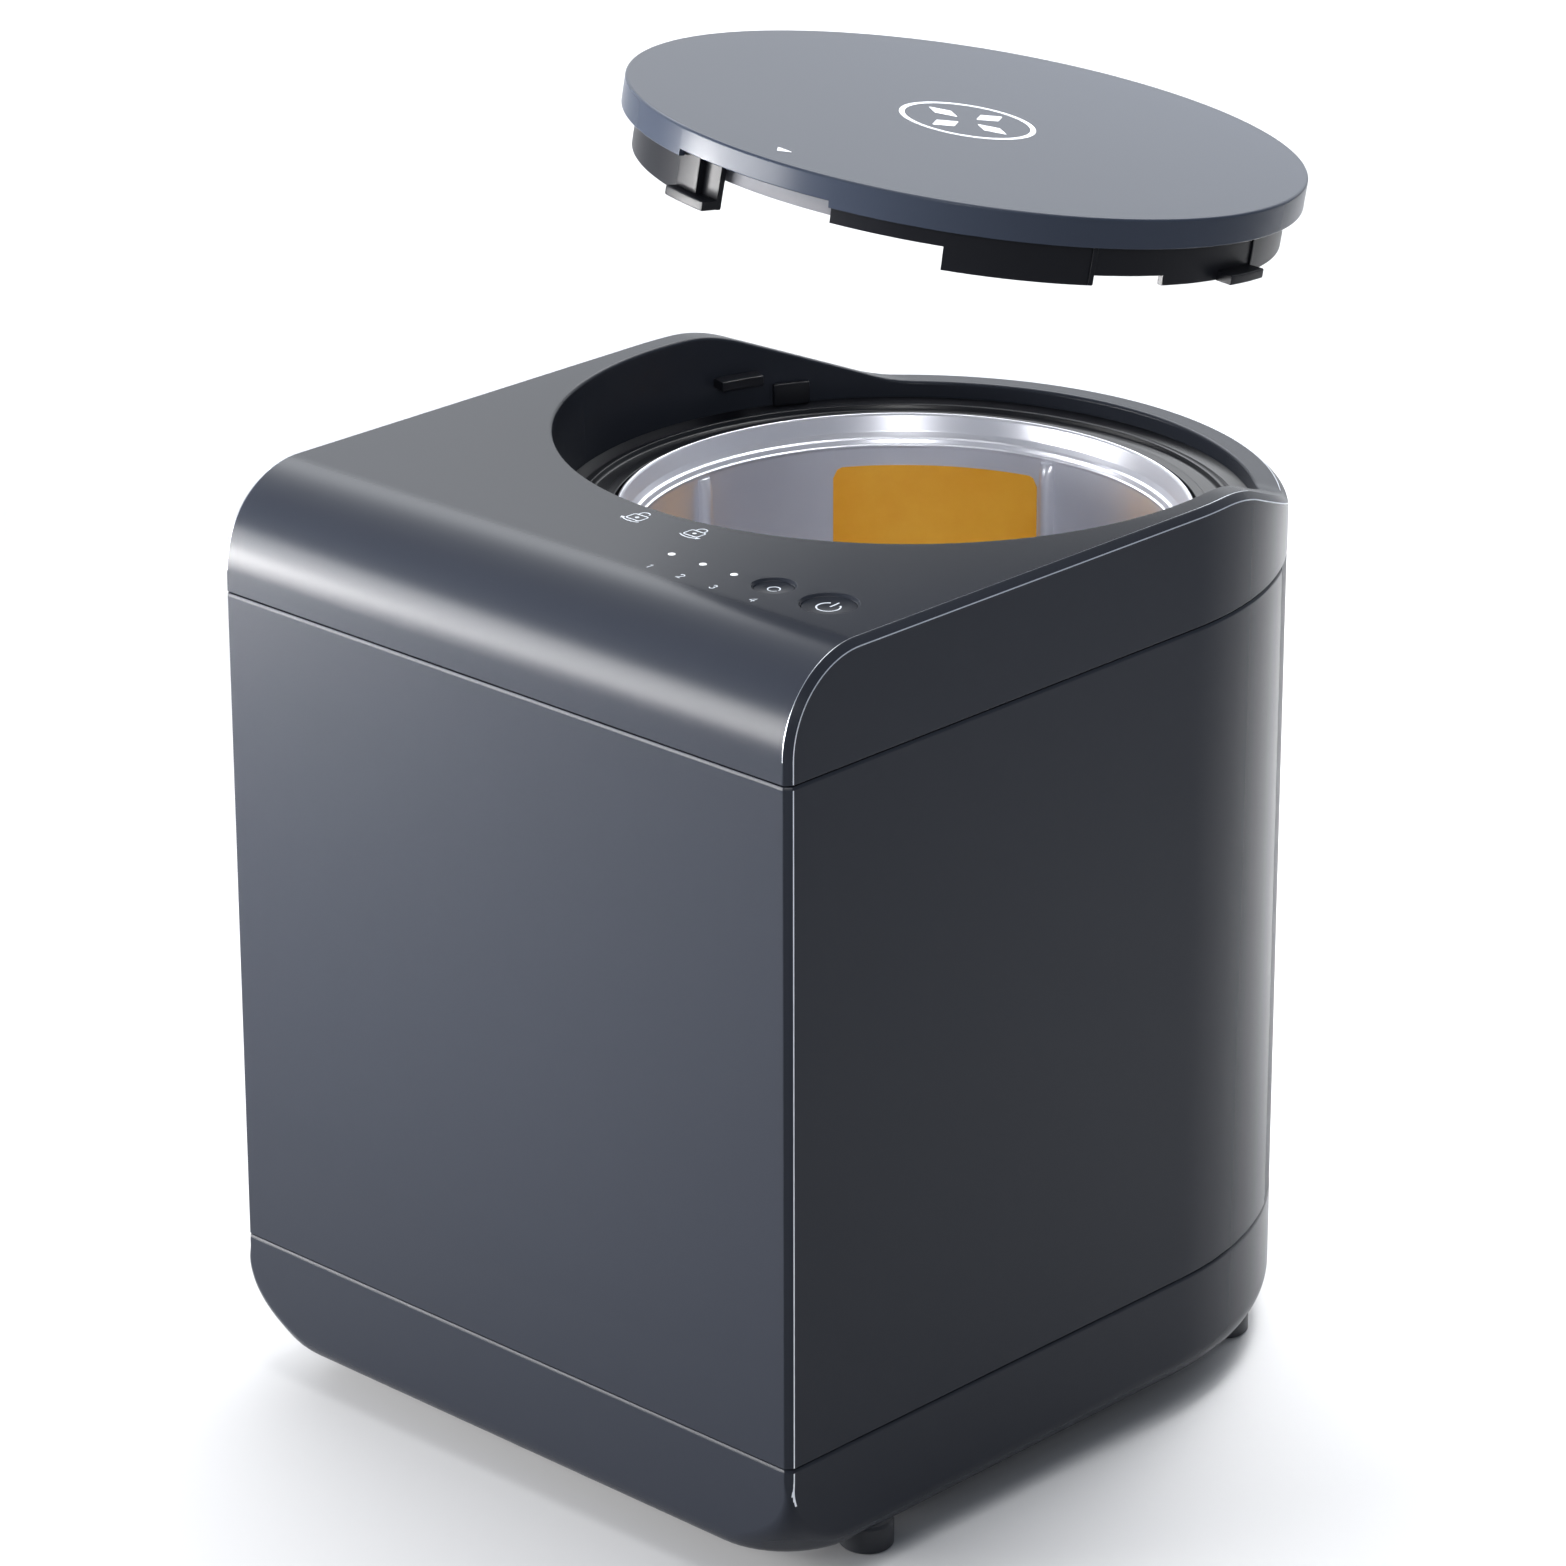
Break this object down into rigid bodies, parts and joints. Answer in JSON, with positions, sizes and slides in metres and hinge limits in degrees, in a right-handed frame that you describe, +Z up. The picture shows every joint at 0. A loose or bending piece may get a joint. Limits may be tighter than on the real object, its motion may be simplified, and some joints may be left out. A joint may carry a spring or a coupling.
{
  "type": "food waste composter",
  "caption": "Electric food waste composter: housing with round back, lift-off bayonet lid, removable metal bucket, stirring auger, gear drive, heater, fan and filter drawer.",
  "frame": {"origin": "on the floor under the middle of the plan box", "axes": "+Z up, front face towards -Y, +X to the right seen from the front"},
  "size_m": [0.27, 0.337, 0.4698],
  "materials": {
    "slate_body": "semi-gloss",
    "slate_rear": "satin",
    "slate_buttons": "semi-gloss",
    "base_black": "matt",
    "foot_rubber": "matt",
    "fastener_steel": "bright",
    "collar_black": "gloss",
    "well_aluminium": "satin",
    "heater_coil": "matt",
    "black_parts": "matt",
    "seal_red": "matt",
    "chassis_steel": "satin",
    "post_nylon": "satin",
    "motor_can": "satin",
    "board_green": "gloss",
    "board_components": "satin",
    "light_pipe": "gloss",
    "pinion_brass": "satin",
    "gear_nylon": "satin",
    "gear_steel": "satin",
    "fan_blue": "satin",
    "tray_grey": "satin",
    "carbon": "matt",
    "bucket_metal": "satin",
    "bush_bronze": "satin",
    "orange_label": "satin",
    "auger_steel": "satin",
    "lid_grey": "semi-gloss",
    "lid_black": "gloss",
    "badge_silver": "bright",
    "mark_white": "satin",
    "liner_grey": "satin",
    "gasket_grey": "matt"
  },
  "bodies": {
    "housing": {"bottom_shell": "slate_body", "base_pan": "base_black", "feet": "foot_rubber", "foot_screws": "fastener_steel", "mid_shell": "slate_body", "rear_panel": "slate_rear", "top_cover": "slate_body", "lid_collar": "collar_black", "lid_catches": "collar_black", "bucket_well": "well_aluminium", "heater_plate": "well_aluminium", "heating_element": "heater_coil", "thermostat": "black_parts", "shaft_seal": "seal_red", "well_posts": "fastener_steel", "chassis_plate": "chassis_steel", "chassis_posts": "post_nylon", "chassis_screws": "fastener_steel", "gearbox_housing": "black_parts", "gearbox_cover": "black_parts", "drive_motor": "motor_can", "idler_axle": "fastener_steel", "shaft_bearings": "fastener_steel", "fan_housing": "black_parts", "fan_motor": "motor_can", "exhaust_duct": "black_parts", "filter_box": "black_parts", "power_inlet": "black_parts", "inlet_pins": "fastener_steel", "main_board": "board_green", "board_parts": "board_components", "board_posts": "post_nylon", "control_board": "board_green", "tact_switches": "black_parts", "led_lenses": "light_pipe", "hall_sensor": "black_parts"},
    "lid_hover": {"vent_ball": "fastener_steel"},
    "lid_inner": {"lid_liner": "liner_grey", "lid_gasket": "gasket_grey"},
    "lid": {"lid_cover": "lid_grey", "lid_skirt": "lid_black", "lid_badge": "badge_silver", "lid_mark": "mark_white"},
    "bucket": {"bucket": "bucket_metal", "bucket_bush": "bush_bronze", "bucket_ribs": "bucket_metal", "bucket_label": "orange_label"},
    "auger": {"auger": "auger_steel", "auger_blades": "auger_steel", "auger_cap": "fastener_steel"},
    "drive": {"drive_shaft": "fastener_steel", "output_gear": "gear_steel"},
    "idler": {"idler_gear": "gear_nylon"},
    "rotor": {"motor_pinion": "pinion_brass"},
    "fan": {"fan_impeller": "fan_blue"},
    "drawer": {"filter_tray": "tray_grey", "carbon_filter": "carbon", "filter_door": "slate_rear"},
    "start_key": {"power_button": "slate_buttons"},
    "reset_key": {"reset_button": "slate_buttons"}
  },
  "joints": [
    {"name": "lid_lift", "type": "slide", "parent": "housing", "child": "lid_hover", "axis": [0.1199, 0.1299, 0.9842], "range_m": [-0.11116, 0]},
    {"name": "lid_tilt", "type": "hinge", "parent": "lid_hover", "child": "lid_inner", "pos_m": [0.01333, 0.04794, 0.4429], "axis": [-0.8651, 0.5017, 0], "range_deg": [-8.95, 0]},
    {"name": "lid_twist", "type": "hinge", "parent": "lid_inner", "child": "lid", "pos_m": [0.014, 0.0491, 0.4514], "axis": [0.078, 0.1344, 0.9879], "range_deg": [-5.2, 6]},
    {"name": "bucket_lift", "type": "slide", "parent": "housing", "child": "bucket", "axis": [0, 0, 1], "range_m": [0, 0.09]},
    {"name": "drive_spin", "type": "hinge", "parent": "housing", "child": "drive", "pos_m": [0, 0.0335, 0.0675], "axis": [0, 0, 1], "continuous": true},
    {"name": "auger_spin", "type": "hinge", "parent": "bucket", "child": "auger", "pos_m": [0, 0.0335, 0.1275], "axis": [0, 0, 1], "continuous": true},
    {"name": "idler_spin", "type": "hinge", "parent": "housing", "child": "idler", "pos_m": [0, -0.0145, 0.0655], "axis": [0, 0, 1], "continuous": true},
    {"name": "rotor_spin", "type": "hinge", "parent": "housing", "child": "rotor", "pos_m": [0, -0.0505, 0.0475], "axis": [0, 0, 1], "continuous": true},
    {"name": "fan_spin", "type": "hinge", "parent": "housing", "child": "fan", "pos_m": [0, 0.098, 0.034], "axis": [0, 0, 1], "continuous": true},
    {"name": "drawer_slide", "type": "slide", "parent": "housing", "child": "drawer", "axis": [0, 1, 0], "range_m": [0, 0.07]},
    {"name": "start_press", "type": "slide", "parent": "housing", "child": "start_key", "axis": [0, 0, -1], "range_m": [0, 0.001], "stiffness_N_per_m": 1200, "springref_m": -0.001},
    {"name": "reset_press", "type": "slide", "parent": "housing", "child": "reset_key", "axis": [0, 0, -1], "range_m": [0, 0.001], "stiffness_N_per_m": 1200, "springref_m": -0.001}
  ],
  "couplings": [
    {"joint": "lid_tilt", "follows": "lid_lift", "rad_per_m": 1.4037},
    {"joint": "auger_spin", "follows": "drive_spin", "ratio": 1},
    {"joint": "idler_spin", "follows": "drive_spin", "ratio": -3},
    {"joint": "rotor_spin", "follows": "drive_spin", "ratio": 6}
  ]
}
